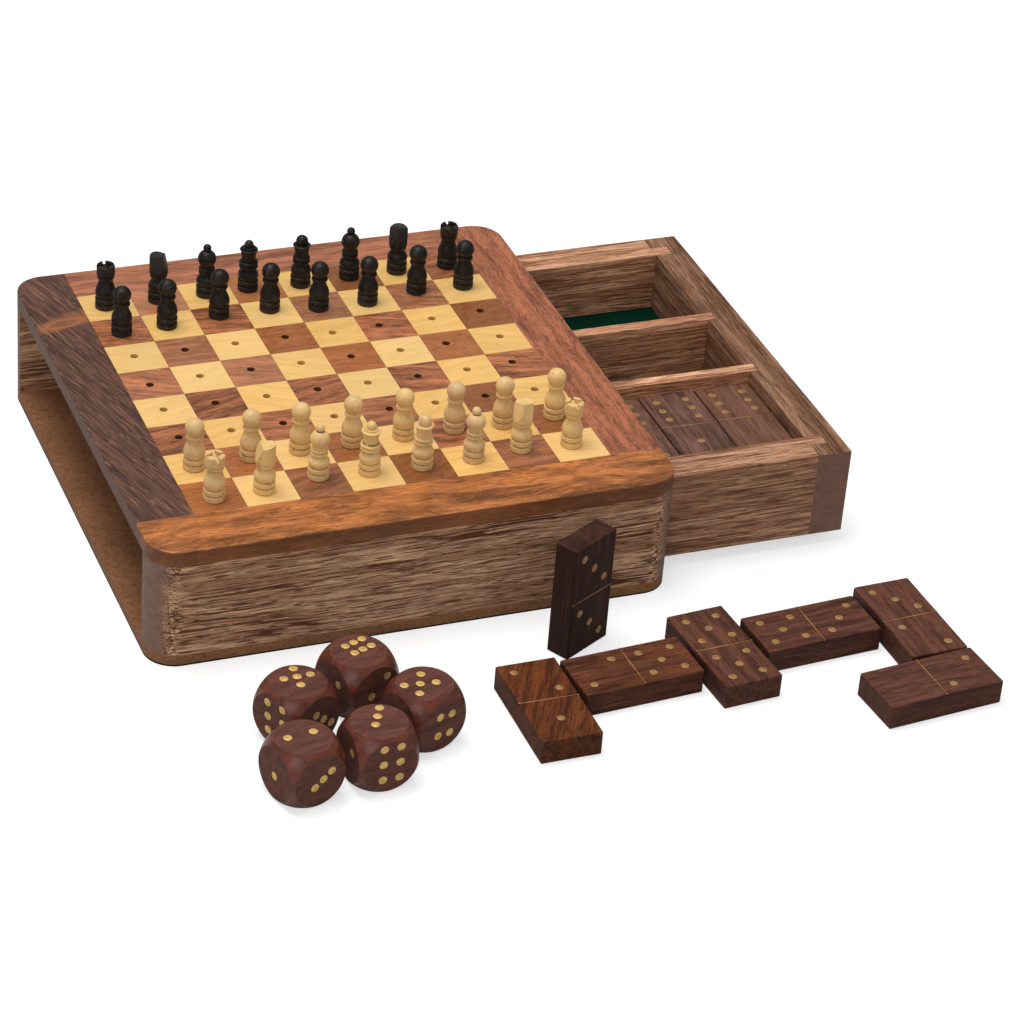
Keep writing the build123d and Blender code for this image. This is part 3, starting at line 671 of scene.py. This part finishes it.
def model_pip(sizes, materials, ring, radius, depth):
    """One pip, modelled upright on z = 0: a sanded disc in a ring of glue."""
    deselect()
    tall = depth - sizes.sunk - sizes.ease / 2
    bpy.ops.mesh.primitive_cylinder_add(
        vertices=24, radius=radius - sizes.gap, depth=tall, location=(0.0, 0.0, tall / 2)
    )
    piece = bpy.context.object
    bpy.ops.object.transform_apply(location=True, rotation=True, scale=True)
    for material in materials:
        piece.data.materials.append(material)
    eased(piece, ring, sizes.ease)
    return piece


def model_line(sizes, materials, width, run, depth):
    """The line between a domino's halves, upright on z = 0, along x."""
    deselect()
    tall = depth - sizes.sunk - sizes.ease / 2
    bpy.ops.mesh.primitive_cube_add(size=1.0, location=(0.0, 0.0, tall / 2))
    piece = bpy.context.object
    piece.scale = (2 * run, width - 2 * sizes.gap, tall)
    bpy.ops.object.transform_apply(location=True, rotation=True, scale=True)
    for material in materials:
        piece.data.materials.append(material)
    eased(piece, 0.0, sizes.ease)
    return piece


def set_in(pattern, middle, normal, ahead):
    """A copy of a pattern, with its own mesh, stood in a seat."""
    up = normal.normalized()
    x_axis = (ahead - up * ahead.dot(up)).normalized()
    y_axis = up.cross(x_axis)
    turn = Matrix((x_axis, y_axis, up)).transposed().to_4x4()
    copy = bpy.data.objects.new(pattern.name, pattern.data.copy())
    copy.data.transform(Matrix.Translation(middle) @ turn)
    bpy.context.scene.collection.objects.link(copy)
    return copy


def inlay(name, node, body, depth, dull):
    """All the brass of one node, as one piece."""
    sizes = bpy.context.scene.games_box_inlay
    rounds, lines = seats(node)
    if not rounds:
        raise RuntimeError(f"{node} has no seats for its pips")
    materials = inlay_materials(dull)
    ring = sizes.thin_ring if dull else sizes.ring
    pip = model_pip(sizes, materials, ring, max(radius for _, _, radius in rounds), depth)
    # each pip is turned its own way, so that its facets don't line up
    copies = []
    for count, (middle, normal, _) in enumerate(rounds):
        side = Vector((0.0, 0.0, 1.0)) if abs(normal.z) < 0.9 else Vector((1.0, 0.0, 0.0))
        ahead = Matrix.Rotation(0.7 * count, 3, normal) @ (side - normal * side.dot(normal))
        copies.append(set_in(pip, middle, normal, ahead))
    bpy.data.objects.remove(pip)
    if lines:
        reach = max(run.length for _, _, run in lines)
        line = model_line(sizes, materials, 0.5 * MM, reach - sizes.ease, depth)
        copies += [set_in(line, middle, normal, run) for middle, normal, run in lines]
        bpy.data.objects.remove(line)
    deselect()
    for copy in copies:
        copy.select_set(True)
    bpy.context.view_layer.objects.active = copies[0]
    bpy.ops.object.join()
    piece = bpy.context.object
    piece.name = name
    bpy.ops.object.shade_smooth_by_angle(angle=radians(35.0))
    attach(piece, body)
    return piece


def inlay_materials(dull):
    """The brass and the glue beside it, made the first time they are asked for."""
    name = "brass_dull" if dull else "brass_bright"
    colours = bpy.context.scene.games_box_others
    tone = tuple(colours.dull_brass if dull else colours.brass)
    brass = bpy.data.materials.get(name) or brass_metal(name, tone)
    return brass, bpy.data.materials.get("glue_dark") or glue_dark()


# ---- operators ---------------------------------------------------------------------------------
def tones(name):
    """A wood colour from its settings, as a plain colour."""
    return tuple(getattr(bpy.context.scene.games_box_woods, name))


class GAMES_OT_board(bpy.types.Operator):
    """Finish the squares, the border strips and the core under them"""

    bl_idname = "games_box.board"
    bl_label = "Board"

    def execute(self, context):
        strips = [tones(side + "_strip") for side in ("left", "front", "right", "back")]
        clothe(strip_wood(*strips), "board_border_strips")
        dark = square_wood("dark_squares", tones("dark_square"), False, 1.0)
        clothe(dark, "board_dark_squares")
        light = square_wood("light_squares", tones("light_square"), True, 0.16)
        clothe(light, "board_light_squares")
        clothe(panel_board("core_panel", tones("panel"), (0.27, 0.14, 0.08)), "board_core")
        return {"FINISHED"}


class GAMES_OT_sleeve(bpy.types.Operator):
    """Finish the sleeve's walls and its bottom panel"""

    bl_idname = "games_box.sleeve"
    bl_label = "Sleeve"

    def execute(self, context):
        tone, pale = tones("wall"), (0.22, 0.125, 0.090)
        clothe(striped_wood("front_wall", tone, 0.0, 1.0, 3.4, 1.0, pale), "case_front_wall")
        clothe(striped_wood("back_wall", tone, 0.0, 9.0, 3.0, 0.9, pale), "case_back_wall")
        clothe(panel_board("bottom_panel", tones("panel"), (0.30, 0.15, 0.08)), "case_bottom_panel")
        return {"FINISHED"}


class GAMES_OT_drawer(bpy.types.Operator):
    """Finish the drawer's boards"""

    bl_idname = "games_box.drawer"
    bl_label = "Drawer"

    def execute(self, context):
        tone, grey = tones("drawer"), (0.20, 0.105, 0.072)
        # the back side's brightness of 1.6 and the dividers' 1.8 are painted light: tones raised
        # against the shade inside the drawer's compartments
        along = {
            "drawer_front_side": (3.0, 1.1), "drawer_back_side": (14.0, 1.6),
            "drawer_dividers": (21.0, 1.8),
        }
        for name, (shift, bright) in along.items():
            clothe(striped_wood(name, shade(tone, bright), 0.0, shift, 2.6, 0.75, grey), name)
        for name, shift in {"drawer_left_end": 27.0, "drawer_right_end": 33.0}.items():
            clothe(striped_wood(name, shade(tone, 0.76), 90.0, shift, 2.6, 0.7, grey), name)
        clothe(panel_board("drawer_floor", tones("panel"), (0.27, 0.15, 0.09)), "drawer_floor")
        return {"FINISHED"}


class GAMES_OT_felt(bpy.types.Operator):
    """Finish the felt under the sleeve and in the drawer"""

    bl_idname = "games_box.felt"
    bl_label = "Felt"

    def execute(self, context):
        felt = felt_cloth(tuple(context.scene.games_box_others.felt))
        clothe(felt, "case_base_felt", "drawer_felt_pads")
        return {"FINISHED"}


class GAMES_OT_dominoes(bpy.types.Operator):
    """Finish the dominoes and set their pips and lines in brass"""

    bl_idname = "games_box.dominoes"
    bl_label = "Dominoes"

    def execute(self, context):
        tone, depth = tones("domino"), 1.0 * MM
        # name: turn of the grain, tip and tilt, shift, orange, contrast, brightness; the standing
        # domino_3_3's brightness of 0.50 is painted shade on its upright faces
        looks = {
            "domino_2_1": (62.0, 0.0, 0.0, 2.0, 1.0, 0.9, 1.0),
            "domino_2_5": (4.0, 0.0, 0.0, 8.0, 0.45, 0.9, 1.1),
            "domino_5_5": (95.0, 0.0, 0.0, 15.0, 0.05, 0.8, 1.1),
            "domino_5_3": (4.0, 0.0, 0.0, 22.0, 0.1, 0.8, 1.1),
            "domino_3_2": (92.0, 0.0, 0.0, 29.0, 0.05, 0.7, 1.2),
            "domino_0_2": (5.0, 0.0, 0.0, 36.0, 0.0, 0.6, 1.15),
            "domino_3_3": (0.0, 0.0, 90.0, 43.0, 0.0, 0.7, 0.50),
        }
        for name, (turn, tip, tilt, shift, sun, contrast, bright) in looks.items():
            wood = domino_wood(name, shade(tone, bright), turn, tip, tilt, shift, sun, contrast)
            clothe(wood, name)
            inlay("brass_" + name, name, name, depth, True)
        clothe(stored_wood(tone), "stored_dominoes")
        inlay("brass_stored_dominoes", "stored_dominoes", "drawer", depth, True)
        return {"FINISHED"}


def stored_wood(tone):
    """The dominoes in the drawer: one finish, with its own tone for each domino's place."""
    low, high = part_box("stored_dominoes")
    pitch = 20.6
    wood = Finish("stored_dominoes")
    here = wood.place()
    corner = ((high.x / MM) + 0.3, low.y / MM, 0.0)
    moved = wood.node("VectorMath", {"operation": "SUBTRACT"}, {0: here, 1: corner})
    row = wood.node("VectorMath", {"operation": "MULTIPLY"}, {0: moved, 1: (1 / pitch, 0.0, 0.0)})
    whole = wood.node("VectorMath", {"operation": "FLOOR"}, {0: row})
    chance = wood.node("TexWhiteNoise", {"noise_dimensions": "3D"}, {"Vector": whole}, "Color")
    first, second, _ = wood.parts(chance)
    far = wood.node("VectorMath", {"operation": "SCALE"}, {0: chance, "Scale": 200.0})
    turned = wood.place(90.0)
    place = wood.waved(wood.moved(turned, far), 2.0, (18, 5, 5))
    faded = blend(tone, (0.19, 0.10, 0.075), 0.45)
    base, fibre = grained(wood, place, faded, (30, 2.6, 2.6), (9, 0.4, 0.4), 0.95)
    base = wood.mix(base, (0.25, 0.105, 0.055), second.rise(0.3, 0.9) * 0.7)
    lines = wood.noise(place, (20, 0.7, 0.7), 37.0, 1.0).rise(0.55, 0.68)
    base = wood.mix(base, shade(tone, 0.5), lines * 0.5)
    base = wood.dimmed(base, first * 0.3 + 0.85)
    return wood.finish(base, fibre * 0.12 + 0.45, fibre, 0.3, 0.04, Specular_IOR_Level=0.2)


class GAMES_OT_dice(bpy.types.Operator):
    """Finish the dice and set their pips in brass"""

    bl_idname = "games_box.dice"
    bl_label = "Dice"

    def execute(self, context):
        tone = tones("die")
        turns = {
            "die_back_left": 25.7, "die_back": 18.7, "die_right": 19.7, "die_front": 4.1,
            "die_front_left": 15.7,
        }
        for count, (name, turn) in enumerate(turns.items()):
            clothe(die_wood(name, tone, turn, 6.0 * count), name)
            inlay("brass_" + name, name, name, 1.0 * MM, False)
        return {"FINISHED"}


class GAMES_OT_men(bpy.types.Operator):
    """Finish the chessmen"""

    bl_idname = "games_box.men"
    bl_label = "Chessmen"

    def execute(self, context):
        clothe(boxwood(tones("boxwood")), *names_from("white_"))
        clothe(ebonised(tones("ebony")), *names_from("black_"))
        return {"FINISHED"}


class GAMES_OT_stage(bpy.types.Operator):
    """Set up the floor, the lamps and the camera"""

    bl_idname = "games_box.stage"
    bl_label = "Stage"

    def execute(self, context):
        sizes = context.scene.games_box_stage
        deselect()
        bpy.ops.mesh.primitive_plane_add(size=sizes.floor_size, location=(0.0, 0.0, -0.00002))
        floor = context.object
        floor.name = "studio_floor"
        floor.data.materials.append(floor_white())
        self.light_world(context.scene, sizes.sky_strength)
        self.add_lamp("overhead_lamp", (-0.25, 0.10, 1.5), 0.7, sizes.lamp_power)
        self.add_lamp("front_lamp", (-0.9, -1.2, 0.9), 0.9, sizes.lamp_power * 0.2)
        self.add_camera(context.scene, sizes)
        context.scene.view_settings.view_transform = "Standard"
        return {"FINISHED"}

    def light_world(self, scene, strength):
        """Even light; the camera sees plain white, and gloss sees a dim studio."""
        world = bpy.data.worlds.new("studio")
        scene.world = world
        world.use_nodes = True
        nodes, links = world.node_tree.nodes, world.node_tree.links
        plain = nodes["Background"]
        plain.inputs["Color"].default_value = (1.0, 1.0, 1.0, 1.0)
        plain.inputs["Strength"].default_value = strength
        seen = nodes.new("ShaderNodeBackground")
        seen.inputs["Strength"].default_value = 1.0
        dim = nodes.new("ShaderNodeBackground")
        dim.inputs["Strength"].default_value = 0.22
        path = nodes.new("ShaderNodeLightPath")
        shiny, mixed = nodes.new("ShaderNodeMixShader"), nodes.new("ShaderNodeMixShader")
        links.new(path.outputs["Is Glossy Ray"], shiny.inputs[0])
        links.new(plain.outputs[0], shiny.inputs[1])
        links.new(dim.outputs[0], shiny.inputs[2])
        links.new(path.outputs["Is Camera Ray"], mixed.inputs[0])
        links.new(shiny.outputs[0], mixed.inputs[1])
        links.new(seen.outputs[0], mixed.inputs[2])
        links.new(mixed.outputs[0], nodes["World Output"].inputs["Surface"])

    def add_lamp(self, name, place, size, power):
        """A square lamp that faces the board."""
        bpy.ops.object.light_add(type="AREA", location=place)
        lamp = bpy.context.object
        lamp.name = name
        lamp.data.size = size
        lamp.data.energy = power
        lamp.rotation_mode = "QUATERNION"
        lamp.rotation_quaternion = Vector(place).to_track_quat("Z", "Y")

    def add_camera(self, scene, sizes):
        """The photograph's view: from the front left, above, and turned a little about its axis."""
        azimuth, elevation, roll = radians(23.31), radians(32.76), radians(4.76)
        level = cos(elevation)
        ahead = Vector((sin(azimuth) * level, cos(azimuth) * level, -sin(elevation)))
        right = ahead.cross(Vector((0.0, 0.0, 1.0))).normalized()
        up = right.cross(ahead)
        right, up = right * cos(roll) + up * sin(roll), up * cos(roll) - right * sin(roll)
        bpy.ops.object.camera_add(location=sizes.camera_place)
        camera = bpy.context.object
        camera.rotation_mode = "QUATERNION"
        camera.rotation_quaternion = Matrix((right, up, -ahead)).transposed().to_quaternion()
        camera.data.lens = sizes.focal_length
        camera.data.sensor_width = 36.0
        camera.data.sensor_fit = "AUTO"
        camera.data.clip_start, camera.data.clip_end = 0.05, 20.0
        scene.camera = camera


class GAMES_PT_panel(bpy.types.Panel):
    """Buttons for each part of the set"""

    bl_idname = "GAMES_PT_panel"
    bl_label = "Games box"
    bl_space_type = "VIEW_3D"
    bl_region_type = "UI"
    bl_category = "Games box"

    def draw(self, context):
        for operator in operators:
            self.layout.operator(operator.bl_idname)
        for group, kind in groups.items():
            box = self.layout.box()
            for key in kind.__annotations__:
                box.prop(getattr(context.scene, group), key)


operators = [
    GAMES_OT_board, GAMES_OT_sleeve, GAMES_OT_drawer, GAMES_OT_felt, GAMES_OT_dominoes,
    GAMES_OT_dice, GAMES_OT_men, GAMES_OT_stage,
]
groups = {
    "games_box_woods": WoodColours,
    "games_box_others": OtherColours,
    "games_box_inlay": InlaySizes,
    "games_box_stage": StageSizes,
}


def register():
    for kind in [*groups.values(), *operators, GAMES_PT_panel]:
        bpy.utils.register_class(kind)
    for name, kind in groups.items():
        setattr(bpy.types.Scene, name, PointerProperty(type=kind))


def unregister():
    for name in groups:
        delattr(bpy.types.Scene, name)
    for kind in [GAMES_PT_panel, *operators, *groups.values()]:
        bpy.utils.unregister_class(kind)


def main():
    register()
    for operator in operators:
        group, name = operator.bl_idname.split(".")
        getattr(getattr(bpy.ops, group), name)()


if __name__ == "__main__":
    main()
